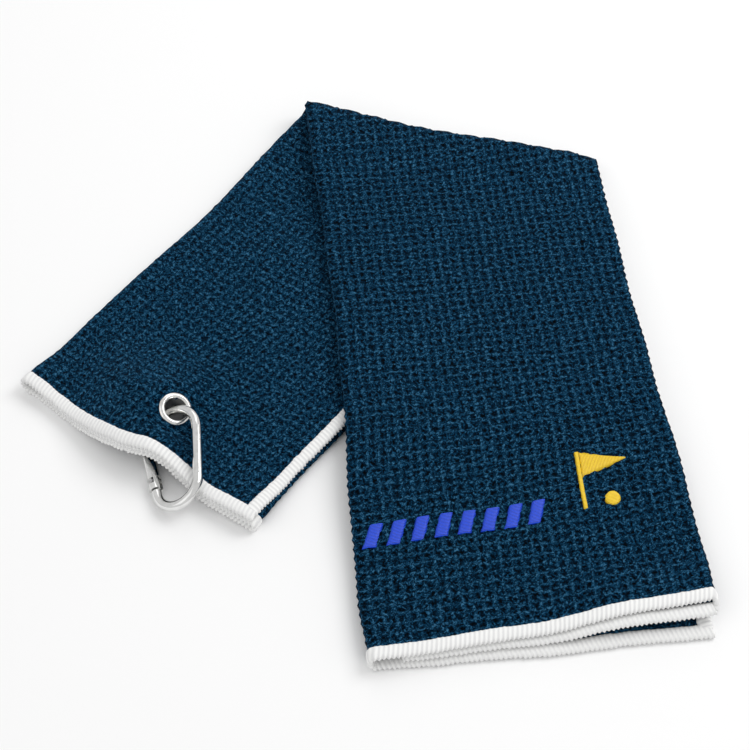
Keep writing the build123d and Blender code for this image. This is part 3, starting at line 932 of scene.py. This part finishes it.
# The block's top is closed downwards, into the cloth, by a wall and a floor along base.
def closeUnder(top, points, base):
    closed = bmesh.new()
    closed.from_mesh(top.data)
    edges = [e for e in closed.edges if e.is_boundary]
    extruded = bmesh.ops.extrude_edge_only(closed, edges=edges)
    for vert in [g for g in extruded["geom"] if isinstance(g, bmesh.types.BMVert)]:
        near = int(np.argmin(np.abs(points * mm - np.array(vert.co)).sum(axis=1)))
        vert.co = Vector(base[near] * mm)
    rim = [g for g in extruded["geom"] if isinstance(g, bmesh.types.BMEdge) and g.is_boundary]
    bmesh.ops.holes_fill(closed, edges=rim, sides=0)
    bmesh.ops.recalc_face_normals(closed, faces=closed.faces[:])
    closed.to_mesh(top.data)
    closed.free()


# A block of satin stitches over the shape corner(s, t), s along each thread and t from thread to thread.
def satinPatch(name, left, low, corner, acrossThreads):
    threads = max(4, int(acrossThreads / satin["thread"]))
    bpy.ops.object.select_all(action="DESELECT")
    bpy.ops.mesh.primitive_grid_add(
        x_subdivisions=satin["along"] - 1, y_subdivisions=threads * satin["perThread"],
        size=1, location=(0, 0, 0))
    top = bpy.context.object
    top.name = name
    grid = np.array([v.co[:] for v in top.data.vertices])
    s, t = grid[:, 0] + 0.5, grid[:, 1] + 0.5
    x, y = corner(s, t)
    sideDome = np.clip(1 - np.abs(2 * s - 1) ** satin["sideRound"], 0, 1) ** 0.5
    endDome = np.clip(1 - np.abs(2 * t - 1) ** satin["endRound"], 0, 1) ** 0.5
    height = (satin["crown"] + np.sin(np.pi * t * threads) ** 2 * satin["ripple"]) * sideDome * endDome
    points = layOnCloth(left + x, low + y, height)
    base = layOnCloth(left + x, low + y, np.full_like(height, -satin["sink"]))
    top.data.vertices.foreach_set("co", (points * mm).astype(np.float32).ravel())
    layer = top.data.uv_layers.active or top.data.uv_layers.new(name="weave")
    layer.name = "weave"
    corners = np.empty(len(top.data.loops), np.int64)
    top.data.loops.foreach_get("vertex_index", corners)
    uvs = np.column_stack((t * threads, s * satin["uvAlong"]))[corners]
    layer.data.foreach_set("uv", uvs.astype(np.float32).ravel())
    closeUnder(top, points, base)
    top.data.polygons.foreach_set("use_smooth", [True] * len(top.data.polygons))
    return top


def joined(name, parts, material):
    bpy.ops.object.select_all(action="DESELECT")
    for part in parts:
        part.select_set(True)
    bpy.context.view_layer.objects.active = parts[0]
    bpy.ops.object.join()
    whole = bpy.context.object
    whole.name = name
    whole.data.materials.clear()
    whole.data.materials.append(material)
    bpy.ops.object.transform_apply(location=True, rotation=True, scale=True)
    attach(whole, "front_half")
    return whole


def makeStripes():
    def slanted(s, t):
        return s * stripes["width"] + t * stripes["slant"], t * stripes["height"]

    bars = []
    for i in range(stripes["count"]):
        left = stripes["fromLeft"] + i * stripes["step"]
        bars.append(satinPatch(f"slantedBar{i + 1}", left, stripes["fromEnd"], slanted, stripes["height"]))
    return joined("slantedBars", bars, finish["blue"])


def makeFlag():
    def pole(s, t):
        return s * flag["poleWidth"], t * flag["pole"]

    def pennant(s, t):
        mid = flag["pole"] - flag["height"] / 2
        halfHigh = flag["height"] / 2 * (1 - flag["taper"] * t)
        return flag["poleWidth"] + t * (flag["length"] - flag["poleWidth"]), mid + (2 * s - 1) * halfHigh

    def ball(s, t):
        r = flag["ball"] / 2
        wide = r * np.sqrt(np.clip(1 - (2 * t - 1) ** 2, flag["ballFlat"], 1))
        return flag["length"] * flag["ballAt"] + (2 * s - 1) * wide, r + (2 * t - 1) * r

    parts = []
    for name, shape, acrossThreads in (
            ("flagPole", pole, flag["pole"]),
            ("flagPennant", pennant, flag["length"]),
            ("golfBall", ball, flag["ball"])):
        parts.append(satinPatch(name, flag["fromLeft"], flag["fromEnd"], shape, acrossThreads))
    return joined("flagAndBall", parts, finish["yellow"])


slantedBars = makeStripes()
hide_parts("stripe_embroidery")
flagAndBall = makeFlag()
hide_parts("flag_embroidery")
print("stage: embroidery")


# metal pieces

metalNodes = {
    "eyelet": "eyelet",
    "eyelet_washer": "eyelet",
    "carabiner_body": "carabiner",
    "carabiner_gate": "carabiner",
    "gate_pivot_pin": "spring",
    "latch_pin": "spring",
    "gate_plunger": "spring",
    "gate_spring": "spring",
}
for nodeName, finishName in metalNodes.items():
    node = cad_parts[nodeName]
    for i in range(max(1, len(node.material_slots))):
        if not node.material_slots:
            node.data.materials.append(finish[finishName])
        node.material_slots[i].material = finish[finishName]
print("stage: metal")


# floor, light, camera

studio = {
    "floorTone": (0.95, 0.95, 0.95),
    "floorRoughness": 0.9,
    "floorShine": 0.1,
    "floorSize": 8,           # metres, as are the places below
    "world": 0.7,
    "softboxes": {            # place, size and power
        "keySoftbox": ((0.95, 0.25, 1.15), 0.9, 9.0),
        "fillSoftbox": ((-1.0, -0.6, 1.1), 1.2, 1.6),
        "backSoftbox": ((0.2, 1.2, 1.1), 1.0, 2.0),
    },
}
view = {
    "place": (-0.02755, -0.52142, 0.59131),
    "yaw": 5.01,              # degrees: to the right, down and rolled
    "lowered": 49.25,
    "roll": -1.11,
    "lens": 86.4,
    "sensor": 36,
    "clip": (0.01, 20),
}


def makeFloor():
    bpy.ops.object.select_all(action="DESELECT")
    bpy.ops.mesh.primitive_plane_add(size=studio["floorSize"], location=(0, 0, 0))
    floor = bpy.context.object
    floor.name = "studioFloor"
    material, tree, shader = newMaterial("paleFloor")
    shader.inputs["Base Color"].default_value = (*studio["floorTone"], 1)
    shader.inputs["Roughness"].default_value = studio["floorRoughness"]
    shader.inputs["Specular IOR Level"].default_value = studio["floorShine"]
    floor.data.materials.append(material)
    return floor


def makeLight(name, place, size, power):
    bpy.ops.object.light_add(type="AREA", location=place)
    light = bpy.context.object
    light.name = name
    light.data.size = size
    light.data.energy = power
    light.rotation_euler = (-Vector(place)).to_track_quat("-Z", "Y").to_euler()
    return light


def makeCamera():
    yaw, lowered, roll = (math.radians(view[key]) for key in ("yaw", "lowered", "roll"))
    level = math.cos(lowered)
    forward = Vector((math.sin(yaw) * level, math.cos(yaw) * level, -math.sin(lowered)))
    right = Vector((math.cos(yaw), -math.sin(yaw), 0))
    up = right.cross(forward)
    rolledRight = right * math.cos(roll) + up * math.sin(roll)
    rolledUp = -right * math.sin(roll) + up * math.cos(roll)
    data = bpy.data.cameras.new("viewCamera")
    data.sensor_width = view["sensor"]
    data.lens = view["lens"]
    data.clip_start, data.clip_end = view["clip"]
    camera = bpy.data.objects.new("viewCamera", data)
    bpy.context.scene.collection.objects.link(camera)
    turnMatrix = Matrix((rolledRight, rolledUp, -forward)).transposed()
    camera.matrix_world = Matrix.Translation(view["place"]) @ turnMatrix.to_4x4()
    bpy.context.scene.camera = camera


makeFloor()
for boxName, (boxPlace, boxSize, boxPower) in studio["softboxes"].items():
    makeLight(boxName, boxPlace, boxSize, boxPower)
world = bpy.data.worlds.new("studioWorld")
bpy.context.scene.world = world
world.use_nodes = True
world.node_tree.nodes["Background"].inputs[0].default_value = (1, 1, 1, 1)
world.node_tree.nodes["Background"].inputs[1].default_value = studio["world"]
makeCamera()
bpy.context.scene.view_settings.view_transform = "Standard"
print("stage: studio")
